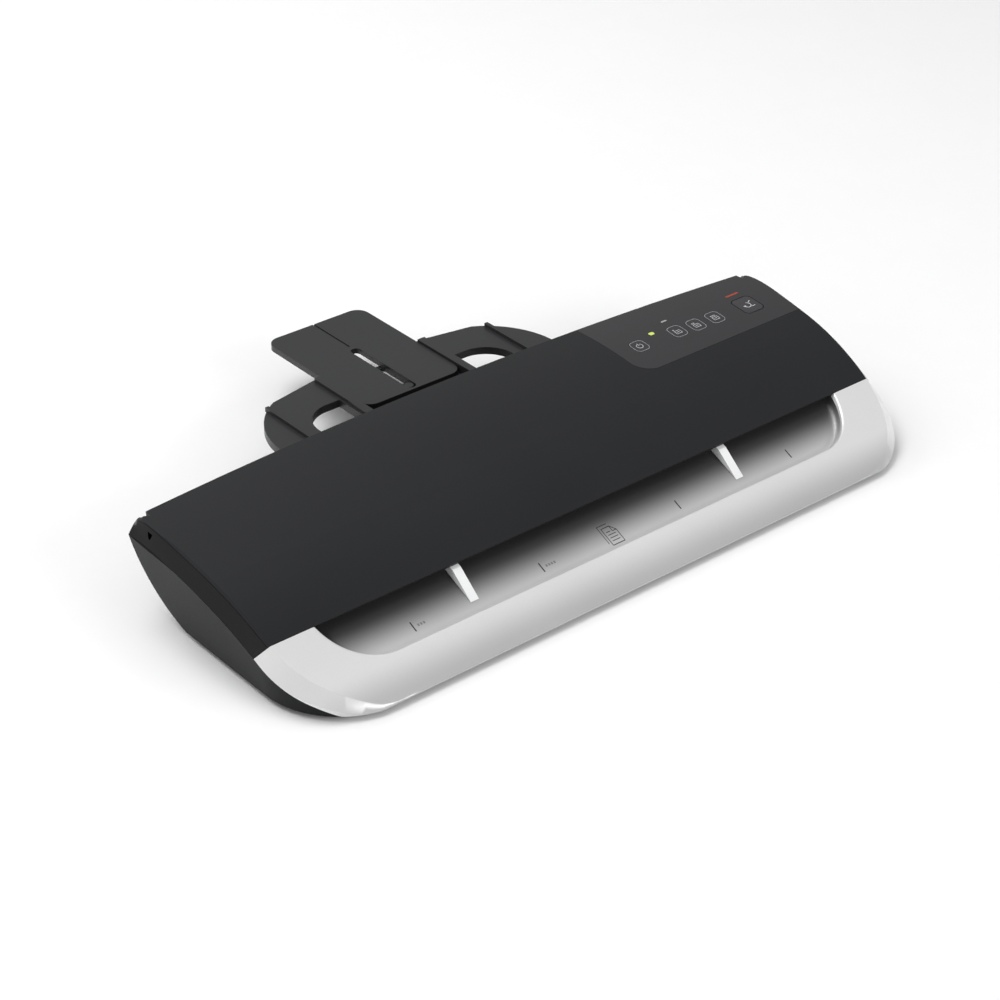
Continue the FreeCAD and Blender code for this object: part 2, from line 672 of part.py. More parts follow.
def make_gear_train():
    z = NIP_Z - ROLLER_PITCH
    idler_y = (FRONT_NIP_Y + REAR_NIP_Y) / 2
    idler = gear_along_x(IDLER_TEETH, idler_y, z, GEAR_X, GEAR_X + GEAR_T, 180.0 / IDLER_TEETH, IDLER_PIN_R + 0.05)
    save("idler_gear", idler)
    pin = rod(PLATE_X + PLATE_T, GEAR_X + GEAR_T + 0.8, idler_y, z, IDLER_PIN_R)
    save("idler_pin", pin.fuse(rod(PLATE_X + PLATE_T, GEAR_X - 0.3, idler_y, z, IDLER_PIN_R + 1.5)))
    towards_motor = math.degrees(math.atan2(MOTOR_Z - z, MOTOR_Y - FRONT_NIP_Y))
    drive = gear_along_x(DRIVE_TEETH, FRONT_NIP_Y, z, DRIVE_X, DRIVE_X + DRIVE_T, towards_motor, SHAFT_R)
    save("drive_gear", drive)
    gap_at = towards_motor + 180
    pinion = gear_along_x(MOTOR_TEETH, MOTOR_Y, MOTOR_Z, DRIVE_X, DRIVE_X + DRIVE_T,
                          gap_at + 180.0 / MOTOR_TEETH, 1.5)
    save("motor_pinion", pinion.fuse(rod(DRIVE_X - 0.6, BRACKET_X - 0.4, MOTOR_Y, MOTOR_Z, 1.5)))


def make_motor():
    can = rod(BRACKET_X + 1.6, BRACKET_X + 24, MOTOR_Y, MOTOR_Z, 16.5)
    gearbox = rod(BRACKET_X + 1.6, BRACKET_X + 9, MOTOR_Y, MOTOR_Z, 17.0)
    can = can.fuse(gearbox)
    save("gear_motor", can)
    y0 = MOTOR_Y - 20
    y1 = MOTOR_Y + 20
    plate = side_prism([(y0, 6.2), (y1, 6.2), (y1, 30), (y1 - 10, 42), (y0 + 14, 42), (y0, 32)],
                       BRACKET_X, BRACKET_X + 1.6)
    foot = box(BRACKET_X, BRACKET_X + 14, y0, y1, 6.2, 7.8)
    bracket = plate.fuse(foot).cut(rod(200, 215, MOTOR_Y, MOTOR_Z, 5))
    bracket = bracket.cut(rod(BRACKET_X + 1.6, BRACKET_X + 24, MOTOR_Y, MOTOR_Z, 17.1))
    save("motor_bracket", bracket)


def make_heaters():
    y0 = FRONT_NIP_Y + 10
    y1 = REAR_NIP_Y - 10
    half = PLATE_X - 0.05
    save("upper_heater_plate", box(-half, half, y0, y1, NIP_Z + PATH_GAP, NIP_Z + PATH_GAP + 3))
    save("lower_heater_plate", box(-half, half, y0, y1, NIP_Z - PATH_GAP - 3, NIP_Z - PATH_GAP))
    above = box(-150, 150, y0 + 4, y1 - 4, NIP_Z + PATH_GAP + 3, NIP_Z + PATH_GAP + 4.2)
    below = box(-150, 150, y0 + 4, y1 - 4, NIP_Z - PATH_GAP - 4.2, NIP_Z - PATH_GAP - 3)
    save("heater_elements", Part.makeCompound([above, below]))
    base = NIP_Z + PATH_GAP + 4.2
    can = post(46, (y0 + y1) / 2, base, base + 4.5, 5)
    tabs = box(38, 54, (y0 + y1) / 2 - 1.5, (y0 + y1) / 2 + 1.5, base + 3, base + 3.8)
    save("thermal_cutout", can.fuse(tabs))


def make_inner_guides():
    half = PATH_HALF - 1
    t = 1.2
    rear = FRONT_NIP_Y - 9
    low_z = NIP_Z - 3.0
    lower = box(-half, half, SHELF_REAR + 0.3, rear, low_z - t, low_z)
    lower = lower.fuse(box(-60, 60, 86, 88, 6.2, low_z - t + 0.1))
    save("lower_feed_guide", lower)
    high_z = NIP_Z + 3.0
    high = [(62, 35.6), (76, high_z), (rear, high_z), (rear, high_z + t), (76, high_z + t), (62, 35.6 + t)]
    save("upper_feed_guide", side_prism(high, -half, half))
    exits = [box(x0, x1, 157, 163, NIP_Z - 4.0, NIP_Z - 2.7) for x0, x1 in ((-166, -44), (44, 166))]
    exits.append(box(-166, 166, 157, 163, NIP_Z + 5.4, NIP_Z + 6.7))
    save("exit_guides", Part.makeCompound(exits))


def make_main_board():
    x0 = -232.0
    y0 = 64.0
    save("main_board", box(x0, x0 + 36, y0, y0 + 58, 10, 11.6))
    top = 11.6
    transformer = box(x0 + 4, x0 + 26, y0 + 30, y0 + 54, top, top + 18)
    core = box(x0 + 8, x0 + 22, y0 + 28, y0 + 56, top + 4, top + 14)
    parts = [transformer.fuse(core)]
    parts += [post(x0 + 8, y0 + 8 + 11 * i, top, top + 12, 4) for i in (0, 1)]
    parts += [box(x0 + 16, x0 + 30, y0 + 4, y0 + 14, top, top + 10), box(x0 + 18, x0 + 32, y0 + 17, y0 + 24, top, top + 7)]
    save("main_board_parts", Part.makeCompound(parts))


# ---- exit tray ----------------------------------------------------------------------------
def frame_outline():
    """Plan outline of the tray frame: two round lobes and a straight rear edge between them."""
    half = FRAME_HALF
    lobe_start = 214.0
    right = [V(half, 176, 0), V(half, lobe_start, 0), V(half - 8.5, 241, 0), V(80, 261, 0), V(44, FRAME_REAR, 0)]
    left = [V(-p.x, p.y, 0) for p in right]
    edges = [Part.LineSegment(right[0], right[1]), Part.Arc(right[1], right[2], right[3]),
             Part.LineSegment(right[3], right[4]), Part.LineSegment(right[4], left[4]),
             Part.LineSegment(left[4], left[3]), Part.Arc(left[3], left[2], left[1]),
             Part.LineSegment(left[1], left[0]), Part.LineSegment(left[0], right[0])]
    return Part.Face(Part.Wire([e.toShape() for e in edges]))


def make_exit_tray():
    top = TRAY_TOP - 0.6
    bottom = TRAY_TOP - 5.8
    plate = frame_outline()
    plate.translate(V(0, 0, bottom))
    frame = plate.extrude(V(0, 0, top - bottom))
    channel_half = EXTENSION_HALF + 0.4
    frame = frame.cut(box(-channel_half, channel_half, 100, 320, 0, 60))
    additions = [box(-channel_half - 0.1, channel_half + 0.1, 160, 262, bottom - 0.4, TRAY_TOP - TRAY_T - 0.4)]
    cutters = []
    for side in (-1, 1):
        hole = rounded_hole()
        rail = box(channel_half, 44.5, 176, FRAME_REAR - 1.5, bottom, TRAY_TOP + 1.6)
        rib = box(87.2, 89.8, 178, 256, top - 1, TRAY_TOP + 1.6)
        tab = box(TAB_X - TAB_HALF, TAB_X + TAB_HALF, 164, 180, *TAB_Z)
        cutters.append(hole if side > 0 else mirror_x(hole))
        additions += [s if side > 0 else mirror_x(s) for s in (rail, rib, tab)]
    frame = frame.cut(fuse_all(cutters)).multiFuse(additions)
    guide_pin = post(0, 226, TRAY_TOP - TRAY_T - 1, TRAY_TOP - 0.8, SLOT_HALF - 0.4)
    window = rounded_block(-SLOT_HALF - 1, SLOT_HALF + 1, 234, 258, 0, 60, 3)
    save("exit_tray_frame", frame.fuse(guide_pin).cut(window))
    slab = rounded_block(-EXTENSION_HALF, EXTENSION_HALF, EXTENSION_FRONT, DEPTH, TRAY_TOP - TRAY_T, TRAY_TOP, 9)
    slot = rounded_block(-SLOT_HALF, SLOT_HALF, *SLOT_Y, 0, 60, 3.2)
    groove = box(-0.7, 0.7, SLOT_Y[1] + 4, DEPTH + 1, TRAY_TOP - 0.8, TRAY_TOP + 1)
    save("exit_tray_extension", slab.cut(slot).cut(groove))


def rounded_hole():
    """Opening of the right-hand lobe: a straight side by the rail and a round far corner."""
    block = box(46, 78, 181, 238, 0, 60)
    far = [e for e in block.Edges if abs(e.tangentAt(e.FirstParameter).z) > 0.9
           and e.Vertexes[0].Y > 200 and e.Vertexes[0].X > 60]
    return block.makeFillet(22, far)


make_casing()
make_small_outside_pieces()
make_control_board()
make_buttons()
make_paper_guides()
make_side_plates()
make_bushes()
make_rollers()
make_gear_train()
make_motor()
make_heaters()
make_inner_guides()
make_main_board()
make_exit_tray()
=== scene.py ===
import math

import bmesh
import bpy
from mathutils import Matrix, Vector


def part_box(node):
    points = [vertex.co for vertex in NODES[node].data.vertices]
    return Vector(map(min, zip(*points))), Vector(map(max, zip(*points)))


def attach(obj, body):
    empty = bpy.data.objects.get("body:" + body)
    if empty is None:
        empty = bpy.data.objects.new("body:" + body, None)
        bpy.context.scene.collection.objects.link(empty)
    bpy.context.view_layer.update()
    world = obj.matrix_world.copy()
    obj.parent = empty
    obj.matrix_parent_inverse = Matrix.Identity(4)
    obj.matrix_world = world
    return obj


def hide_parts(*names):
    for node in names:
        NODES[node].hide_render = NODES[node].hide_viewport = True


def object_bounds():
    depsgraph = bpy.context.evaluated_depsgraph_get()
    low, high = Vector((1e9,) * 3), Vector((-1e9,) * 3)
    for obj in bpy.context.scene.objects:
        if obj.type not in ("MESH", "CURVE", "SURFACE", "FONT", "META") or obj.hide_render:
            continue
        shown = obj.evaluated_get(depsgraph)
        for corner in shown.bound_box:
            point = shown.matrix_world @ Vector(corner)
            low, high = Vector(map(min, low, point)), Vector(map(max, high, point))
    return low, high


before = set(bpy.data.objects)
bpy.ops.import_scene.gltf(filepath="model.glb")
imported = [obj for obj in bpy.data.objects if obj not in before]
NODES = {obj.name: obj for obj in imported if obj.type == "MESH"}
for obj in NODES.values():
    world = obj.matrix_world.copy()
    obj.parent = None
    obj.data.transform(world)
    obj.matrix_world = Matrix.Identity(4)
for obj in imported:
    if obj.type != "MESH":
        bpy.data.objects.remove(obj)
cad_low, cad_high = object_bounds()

MM = 0.001
NOSE_Y = cad_low.y / MM                       # drawn y is measured rearwards from the nose


# ---- shape of the casing, millimetres, y from the nose -------------------------------------
TOP_START = (195.0, 58.9)                     # (y, z) where the top's outline starts, at the rear
# arcs of the top: (slope at the start, slope at the end, y of the end)
TOP_ARCS = ((-6.3, 13.5, 98.0), (13.5, 30.0, 51.5), (30.0, 24.0, 22.5), (24.0, 52.0, -8.65))
LIP_Y, LIP_Z, LIP_SLOPE = 51.5, 33.5, 30.0
HALF_WIDTH, SIDE_DRAFT = 243.3, 0.17
CORNER_R, CORNER_Y = 52.0, 51.0
BASE_Z = 3.5
BAND_WIDTH, BAND_DROP = 8.0, 9.0              # the bevel along the sides of the top
SILVER_DROP = 8.9
RECESS_HALF, RECESS_FRONT, RECESS_R = 204.0, 23.0, 36.0
SHELF_Y, SHELF_Z, SHELF_SLOPE, SHELF_REAR = 38.0, 19.0, 24.0, 71.0
GUIDE_SLOT_X, GUIDE_SLOT_Y = (49.8, 155.2), (60.7, 65.3)


def sin(angle):
    return math.sin(math.radians(angle))


def cos(angle):
    return math.cos(math.radians(angle))


def top_z(y):
    start_y, z = TOP_START
    for slope0, slope1, y_end in TOP_ARCS:
        radius = (start_y - y_end) / (sin(slope1) - sin(slope0))
        if y >= y_end:
            slope = math.degrees(math.asin(sin(slope0) + (start_y - y) / radius))
            return z - radius * (cos(slope0) - cos(slope))
        z -= radius * (cos(slope0) - cos(slope1))
        start_y = y_end
    return z


def shelf_z(y):
    return SHELF_Z + (y - SHELF_Y) * math.tan(math.radians(SHELF_SLOPE))


def half_width(z):
    return HALF_WIDTH + SIDE_DRAFT * (z - LIP_Z)


def place(x, y, z):
    """Drawn millimetres to metres in the part's frame."""
    return Vector((x * MM, (y + NOSE_Y) * MM, z * MM))


# ---- materials -----------------------------------------------------------------------------
CLOUD_SCALE, CLOUD_DETAIL, CLOUD_SHARE = 14.0, 4.0, 0.4
FINE_DETAIL, FINE_SHARE = 3.0, 0.6
NOISE_LOW, NOISE_HIGH = 0.3, 0.7              # the stretch of the mixed noise that is used
RELIEF_DEPTH = 0.2 * MM
COAT_ROUGHNESS = 0.08
SMOOTHEST = 0.03


def add_node(tree, kind, values=None, **settings):
    """New shader node with its input values and its settings."""
    node = tree.nodes.new(kind)
    for key, value in settings.items():
        setattr(node, key, value)
    for key, value in (values or {}).items():
        node.inputs[key].default_value = value
    return node


def mixed_noise(tree, coords, grain, stretch):
    """Broad and fine noise added up, and the fine noise alone."""
    link = tree.links.new
    mapping = add_node(tree, "ShaderNodeMapping", {"Scale": stretch})
    link(coords, mapping.inputs["Vector"])
    cloud = add_node(tree, "ShaderNodeTexNoise", {"Scale": CLOUD_SCALE, "Detail": CLOUD_DETAIL})
    fine = add_node(tree, "ShaderNodeTexNoise", {"Scale": grain, "Detail": FINE_DETAIL})
    for noise in (cloud, fine):
        link(mapping.outputs["Vector"], noise.inputs["Vector"])
    broad = add_node(tree, "ShaderNodeMath", {1: CLOUD_SHARE}, operation="MULTIPLY")
    link(cloud.outputs["Fac"], broad.inputs[0])
    mixed = add_node(tree, "ShaderNodeMath", {1: FINE_SHARE}, operation="MULTIPLY_ADD")
    link(fine.outputs["Fac"], mixed.inputs[0])
    link(broad.outputs[0], mixed.inputs[2])
    return mixed.outputs[0], fine.outputs["Fac"]


def colour_ramp(tree, noise, colour, vary):
    ramp = add_node(tree, "ShaderNodeValToRGB")
    dark, light = ramp.color_ramp.elements[0], ramp.color_ramp.elements[1]
    dark.position, light.position = NOISE_LOW, NOISE_HIGH
    dark.color = [c * (1 - vary) for c in colour] + [1]
    light.color = [min(1.0, c * (1 + vary)) for c in colour] + [1]
    tree.links.new(noise, ramp.inputs["Fac"])
    return ramp.outputs["Color"]


# painted shade: a colour gradient along y that stands in for shadow
def painted_shade_along_y(tree, coords, colour, y_full, y_dark, left):
    """Painted shade: the colour scaled down along the drawn y, from 1 at y_full to left at y_dark."""
    link = tree.links.new
    parts = add_node(tree, "ShaderNodeSeparateXYZ")
    link(coords, parts.inputs["Vector"])
    depth = add_node(tree, "ShaderNodeMapRange",
                     {"From Min": place(0, y_full, 0).y, "From Max": place(0, y_dark, 0).y,
                      "To Min": 1.0, "To Max": left}, interpolation_type="SMOOTHSTEP")
    link(parts.outputs["Y"], depth.inputs["Value"])
    scale = add_node(tree, "ShaderNodeVectorMath", operation="SCALE")
    link(colour, scale.inputs["Vector"])
    link(depth.outputs["Result"], scale.inputs["Scale"])
    return scale.outputs["Vector"]


def material(name, colour, rough, metallic=0.0, vary=0.15, grain=900.0, bump=0.05, coat=0.0,
             spread=0.06, specular=0.5, stretch=(1, 1, 1), emission=0.0, shade=None):
    """Principled material whose colour, roughness and fine relief come from noise.

    shade is a painted shade along y: (drawn y of full colour, drawn y of the darkest, share of the colour
    left there).
    """
    mat = bpy.data.materials.new(name)
    mat.use_nodes = True
    tree = mat.node_tree
    link = tree.links.new
    shader = tree.nodes["Principled BSDF"]
    coords = add_node(tree, "ShaderNodeTexCoord").outputs["Object"]
    noise, fine_noise = mixed_noise(tree, coords, grain, stretch)
    colour_out = colour_ramp(tree, noise, colour, vary)
    # painted shade: the colour darkened along the drawn y
    if shade:
        colour_out = painted_shade_along_y(tree, coords, colour_out, *shade)
    link(colour_out, shader.inputs["Base Color"])
    roughness = add_node(tree, "ShaderNodeMapRange",
                         {"From Min": NOISE_LOW, "From Max": NOISE_HIGH,
                          "To Min": max(SMOOTHEST, rough - spread), "To Max": min(1.0, rough + spread)})
    link(noise, roughness.inputs["Value"])
    link(roughness.outputs["Result"], shader.inputs["Roughness"])
    relief = add_node(tree, "ShaderNodeBump", {"Strength": bump, "Distance": RELIEF_DEPTH})
    link(fine_noise, relief.inputs["Height"])
    link(relief.outputs["Normal"], shader.inputs["Normal"])
    shader.inputs["Metallic"].default_value = metallic
    shader.inputs["Coat Weight"].default_value = coat
    shader.inputs["Coat Roughness"].default_value = COAT_ROUGHNESS
    shader.inputs["Specular IOR Level"].default_value = specular
    if emission:
        shader.inputs["Emission Color"].default_value = (*colour, 1)
        shader.inputs["Emission Strength"].default_value = emission
    return mat


MATERIALS = {
    "cover": material("cover_satin_black", (0.0090, 0.0096, 0.0110), 0.50, bump=0.10, grain=1600,
                      specular=0.28),
    "trim": material("trim_gloss_black", (0.006, 0.006, 0.007), 0.14, bump=0.01, spread=0.03, coat=0.1,
                     specular=0.4),
    "casing": material("casing_satin_grey", (0.0085, 0.009, 0.0098), 0.42, bump=0.12, grain=1400,
                       specular=0.12),
    # shelf: the silver paint made darker overall and fading to near black towards the cover's lip; this
    # darkening is painted shade
    "shelf": material("shelf_paint_and_painted_shade", (0.72, 0.725, 0.72), 0.36, metallic=0.5, vary=0.04,
                      grain=2600, bump=0.05, spread=0.04, shade=(24.0, 50.0, 0.07)),
    # silver paint, darkening from the crest towards the nose; this darkening is painted shade
    "silver": material("silver_paint_and_painted_shade", (0.82, 0.825, 0.82), 0.34, metallic=0.45, vary=0.04, grain=2600,
                       bump=0.05, spread=0.04, shade=(20.0, -3.0, 0.55)),
    "panel": material("panel_satin_grey", (0.021, 0.020, 0.0225), 0.44, bump=0.06, grain=1600),
    "button": material("button_satin_grey", (0.023, 0.0218, 0.0245), 0.40, bump=0.04, grain=1600),
    "release": material("release_button_grey", (0.03, 0.03, 0.033), 0.30, bump=0.04, grain=1600),
    "tray": material("tray_satin_black", (0.015, 0.0155, 0.017), 0.38, bump=0.10, grain=1500),
    "inlet": material("inlet_black", (0.012, 0.012, 0.012), 0.5, bump=0.1),
    "guide": material("guide_silver", (0.88, 0.885, 0.89), 0.34, metallic=0.1, vary=0.04, grain=2600,
                      bump=0.03, spread=0.03),
    "foot": material("foot_rubber", (0.018, 0.018, 0.018), 0.85, bump=0.4, grain=1200),
    "silicone": material("roller_silicone", (0.45, 0.10, 0.06), 0.62, bump=0.15),
    "steel": material("ground_steel", (0.55, 0.55, 0.56), 0.28, metallic=1.0, vary=0.1, grain=700,
                      bump=0.1, stretch=(0.05, 1, 1)),
    "sheet_steel": material("zinc_plated_steel", (0.52, 0.53, 0.55), 0.38, metallic=1.0, vary=0.2,
                            grain=160, bump=0.05),
    "heater": material("extruded_aluminium", (0.70, 0.70, 0.71), 0.34, metallic=1.0, vary=0.06,
                       grain=900, bump=0.12, stretch=(0.03, 1, 1)),
    "film": material("heater_film", (0.55, 0.36, 0.12), 0.25, vary=0.2, grain=200),
    "gear": material("gear_nylon", (0.72, 0.70, 0.62), 0.45, vary=0.06),
    "brass": material("turned_brass", (0.62, 0.45, 0.18), 0.27, metallic=1.0, vary=0.1),
    "sheet": material("guide_sheet_plastic", (0.10, 0.10, 0.105), 0.5),
    "board": material("board_green", (0.02, 0.11, 0.05), 0.35, vary=0.3, grain=400),
    "chips": material("board_component", (0.03, 0.03, 0.032), 0.45, vary=0.3, grain=300),
    "mark": material("printed_mark_black", (0.010, 0.010, 0.011), 0.5, vary=0.1),
    "mark_grey": material("printed_mark_grey", (0.20, 0.20, 0.21), 0.5, vary=0.1),
    "line": material("printed_line_light", (0.30, 0.295, 0.31), 0.45, vary=0.08),
    "icon": material("printed_icon_silver", (0.50, 0.50, 0.52), 0.4, vary=0.08),
    "red": material("printed_bar_red", (0.34, 0.045, 0.02), 0.45, vary=0.08),
    "green": material("light_pipe_green", (0.50, 0.62, 0.12), 0.3, vary=0.1, emission=0.25),
    "white": material("light_pipe_white", (0.35, 0.36, 0.36), 0.3, vary=0.1),
}

NODE_MATERIALS = {
    "cover": ["top_cover"],
    "trim": ["left_side_trim", "right_side_trim"],
    "casing": ["left_end_cap", "right_end_cap", "rear_panel", "base_pan"],
    "silver": ["feed_tray"],
    "panel": ["control_panel"],
    "button": ["power_button", "mode_button_1", "mode_button_2", "mode_button_3"],
    "release": ["release_button"],
    "tray": ["exit_tray_frame", "exit_tray_extension"],
    "inlet": ["power_inlet"],
    "guide": ["left_paper_guide", "right_paper_guide"],
    "foot": ["rubber_feet"],
    "green": ["ready_light"],
    "white": ["status_light"],
    "heater": ["upper_heater_plate", "lower_heater_plate"],
    "film": ["heater_elements"],
    "brass": ["roller_bushes", "motor_pinion"],
    "sheet": ["upper_feed_guide", "lower_feed_guide", "exit_guides"],
    "board": ["main_board", "control_board"],
    "chips": ["main_board_parts", "button_switches"],
    "steel": ["idler_pin", "tie_bars", "pressure_springs"],
    "sheet_steel": ["left_side_plate", "right_side_plate", "motor_bracket", "gear_motor",
                    "base_screws", "thermal_cutout"],
}
ENDING_MATERIALS = {"_shaft": "steel", "_roller": "silicone", "_gear": "gear", "_pinion": "gear",
                    "_rack": "gear"}


def kind_of(node):
    for kind, names in NODE_MATERIALS.items():
        if node in names:
            return kind
    for ending, kind in ENDING_MATERIALS.items():
        if node.endswith(ending):
            return kind
    raise KeyError(node)


def dress(obj, mat):
    obj.data.materials.clear()
    obj.data.materials.append(mat)


for node, obj in NODES.items():
    dress(obj, MATERIALS[kind_of(node)])


# ---- building pieces -----------------------------------------------------------------------
def piece(name, verts, faces, mat, body, smooth=True):
    """New mesh piece from drawn millimetres that rides on a body."""
    mesh = bpy.data.meshes.new(name)
    mesh.from_pydata([place(*v) for v in verts], [], faces)
    obj = bpy.data.objects.new(name, mesh)
    bpy.context.scene.collection.objects.link(obj)
    dress(obj, MATERIALS[mat])
    if smooth:
        mesh.shade_smooth()
    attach(obj, body)
    return obj


def spaced(a, b, n):
    return [a + (b - a) * i / n for i in range(n + 1)]


# silver feed tray: rows run from the outer edge over the crest and down to the shelf
CORNER_STEPS, FRONT_STEPS, SHELF_STEPS = 28, 24, 6
EXTRA_YS = (63.0, 60.0, 57.0)                 # stations behind the lip, where the skin is cut off
CREST_ROWS = (0.02, 0.05, 0.1, 0.18, 0.3, 0.42, 0.55, 0.68, 0.8, 0.9, 0.96)
# (distance outside the recess outline, share of the wall's height)
WALL_ROWS = ((3.4, 1.0), (2.2, 0.992), (1.3, 0.96), (0.7, 0.90), (0.2, 0.80), (-0.2, 0.68),
             (-0.6, 0.52), (-1.0, 0.38), (-1.5, 0.25), (-2.2, 0.14), (-3.1, 0.055), (-4.1, 0.015),
             (-5.2, 0.0))
SIDE_SOFTNESS = 1.5                           # the foot of the wall is this much wider at the ends
CLIPPED_WALL_ROWS = 5                         # rows above this one end at the lip
UNDER_EDGE = 3.0                              # width of the turned-in edge below the silver
LEAST_STEP = 0.05                             # the bevel stays this far above the silver's lower edge
SHELF_START = 0.2                             # the shelf's straight rows start behind the corners
SAME_PLACE = 0.01
LIP_GAP = 0.12                                # between the skin and the lip of the top cover
SKIN_THICKNESS, CREASE_ANGLE = 1.6, 32.0
SHELF_MATERIAL = 1                            # second material of the skin, for wall and shelf, with painted shade towards the lip
ON_PLANE, MERGE_WITHIN = 1e-7, 2e-6           # metres


def stations():
    """(side, angle of the outward normal, y on a straight side, share across the front)."""
    right = [(1, 0.0, y, None) for y in EXTRA_YS]
    right += [(1, 90.0 * i / CORNER_STEPS, None, None) for i in range(CORNER_STEPS + 1)]
    front = [(0, 90.0, None, share) for share in spaced(-1, 1, FRONT_STEPS)[1:-1]]
    left = [(-1, angle, y, share) for _, angle, y, share in right]
    return left + front + list(reversed(right))


def outer_column(side, angle, y, share):
    """Points on the outer edge: under edge, silver's lower edge, both edges of the bevel."""
    y_out = y if y is not None else max(CORNER_Y - CORNER_R * sin(angle), 0.0)
    z_top = top_z(y_out)
    fade = cos(angle)
    low = max(z_top - SILVER_DROP, BASE_Z)
    bevel = max(z_top - BAND_DROP * fade, BASE_Z)

    def across(z, inset):
        half = half_width(z) - CORNER_R
        if side == 0:
            return share * half, y_out + inset
        return side * (half + (CORNER_R - inset) * cos(angle)), y_out + inset * sin(angle)

    x3, y3 = across(z_top - BAND_DROP * fade, BAND_WIDTH * fade)
    return [(*across(low, UNDER_EDGE), low),
            (*across(low, 0), low),
            (*across(max(bevel, low), 0), max(bevel, low + LEAST_STEP)),
            (x3, y3, top_z(y3))]


def ring_point(side, angle, y, share, grow):
    """Point on the recess outline moved outwards by grow."""
    half = RECESS_HALF - RECESS_R
    r = RECESS_R + grow
    if side == 0:
        return share * half, RECESS_FRONT - grow
    x = side * (half + r * cos(angle))
    if y is not None:
        return x, RECESS_FRONT + RECESS_R + (y - CORNER_Y)
    return x, RECESS_FRONT + RECESS_R - r * sin(angle)


def tray_column(station):
    points = outer_column(*station)
    x3, y3, _ = points[-1]
    grow, _ = WALL_ROWS[0]
    xr, yr = ring_point(*station, grow)
    for t in CREST_ROWS:
        y = y3 + (yr - y3) * t
        points.append((x3 + (xr - x3) * t, y, top_z(y)))
    soft = 1 + SIDE_SOFTNESS * cos(station[1]) ** 2
    for grow, share in WALL_ROWS:
        x, y = ring_point(*station, grow * (soft if grow < 0 else 1))
        points.append((x, y, shelf_z(y) + (top_z(y) - shelf_z(y)) * share))
    return points


def band_faces(columns, first, last):
    """Quads between neighbouring columns for the rows first to last."""
    rows = len(columns[0])
    faces = []
    for i in range(len(columns) - 1):
        for j in range(first, last):
            a, b = i * rows + j, (i + 1) * rows + j
            faces.append((a, b, b + 1, a + 1))
    return faces


def shelf_patch(columns):
    """Flat shelf from the foot of the wall back under the cover, with the guides' slots."""
    feet = [c[-1] for c in columns if c[-1][1] <= RECESS_FRONT + RECESS_R + SAME_PLACE]
    rear_rows = [RECESS_FRONT + RECESS_R + SHELF_START, *GUIDE_SLOT_Y, SHELF_REAR]
    xs = sorted({round(f[0], 4) for f in feet} | {s * x for s in (-1, 1) for x in GUIDE_SLOT_X})
    front_y = RECESS_FRONT - WALL_ROWS[-1][0]
    verts, faces = [], []
    for x in xs:
        near = min(feet, key=lambda f: abs(f[0] - x))
        start_y = near[1] if abs(near[0] - x) < SAME_PLACE else front_y
        ys = spaced(start_y, rear_rows[0], SHELF_STEPS) + rear_rows[1:]
        verts += [(x, y, shelf_z(y)) for y in ys]
    rows = SHELF_STEPS + len(rear_rows)
    slot_row = SHELF_STEPS + 1
    for i in range(len(xs) - 1):
        mid = abs(xs[i] + xs[i + 1]) / 2
        for j in range(rows - 1):
            if j == slot_row and GUIDE_SLOT_X[0] < mid < GUIDE_SLOT_X[1]:
                continue
            a, b = i * rows + j, (i + 1) * rows + j
            faces.append((a, b, b + 1, a + 1))
    return verts, faces


def cut_at_lip(bm):
    """Remove what lies behind the sloped plane where the top cover's lip starts."""
    bmesh.ops.bisect_plane(bm, geom=bm.verts[:] + bm.edges[:] + bm.faces[:], dist=ON_PLANE,
                           plane_co=place(0, LIP_Y - LIP_GAP, LIP_Z),
                           plane_no=Vector((0, cos(LIP_SLOPE), sin(LIP_SLOPE))), clear_outer=True)


def add_faces(bm, verts, faces, material_index):
    used = sorted({i for face in faces for i in face})
    new = {i: bm.verts.new(place(*verts[i])) for i in used}
    for face in faces:
        bm.faces.new([new[i] for i in face]).material_index = material_index


def build_feed_tray():
    columns = [tray_column(s) for s in stations()]
    verts = [v for column in columns for v in column]
    rows = len(columns[0])
    clipped = rows - len(WALL_ROWS) + CLIPPED_WALL_ROWS
    obj = piece("feed_tray_skin", verts, band_faces(columns, 0, clipped), "silver", "body")
    bm = bmesh.new()
    bm.from_mesh(obj.data)
    cut_at_lip(bm)
    add_faces(bm, verts, band_faces(columns, clipped, rows - 1), SHELF_MATERIAL)
    add_faces(bm, *shelf_patch(columns), SHELF_MATERIAL)
    bmesh.ops.remove_doubles(bm, verts=bm.verts[:], dist=MERGE_WITHIN)
    loose = [v for v in bm.verts if not v.link_faces]
    bmesh.ops.delete(bm, geom=loose, context="VERTS")
    for face in bm.faces:
        face.smooth = True
    bm.to_mesh(obj.data)
    bm.free()
    # the shelf's material, with painted shade that darkens it towards the lip
    obj.data.materials.append(MATERIALS["shelf"])
    wall = obj.modifiers.new("wall", "SOLIDIFY")
    wall.thickness = SKIN_THICKNESS * MM
    wall.offset = -1
    edge = obj.modifiers.new("edges", "EDGE_SPLIT")
    edge.split_angle = math.radians(CREASE_ANGLE)
    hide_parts("feed_tray")


build_feed_tray()


# ---- printed marks -------------------------------------------------------------------------
PRINT_LIFT, PRINT_SINK = 0.06, 0.02


def decal(name, polygons, surface, mat, body):
    """Thin raised print: each polygon of (x, y) lies just above surface(y)."""
    verts, faces = [], []
    for polygon in polygons:
        n = len(polygon)
        base = len(verts)
        verts += [(x, y, surface(y) + PRINT_LIFT) for x, y in polygon]
        verts += [(x, y, surface(y) - PRINT_SINK) for x, y in polygon]
        faces.append(tuple(range(base, base + n)))
        faces += [(base + i, base + n + i, base + n + (i + 1) % n, base + (i + 1) % n) for i in range(n)]
    return piece(name, verts, faces, mat, body, smooth=False)


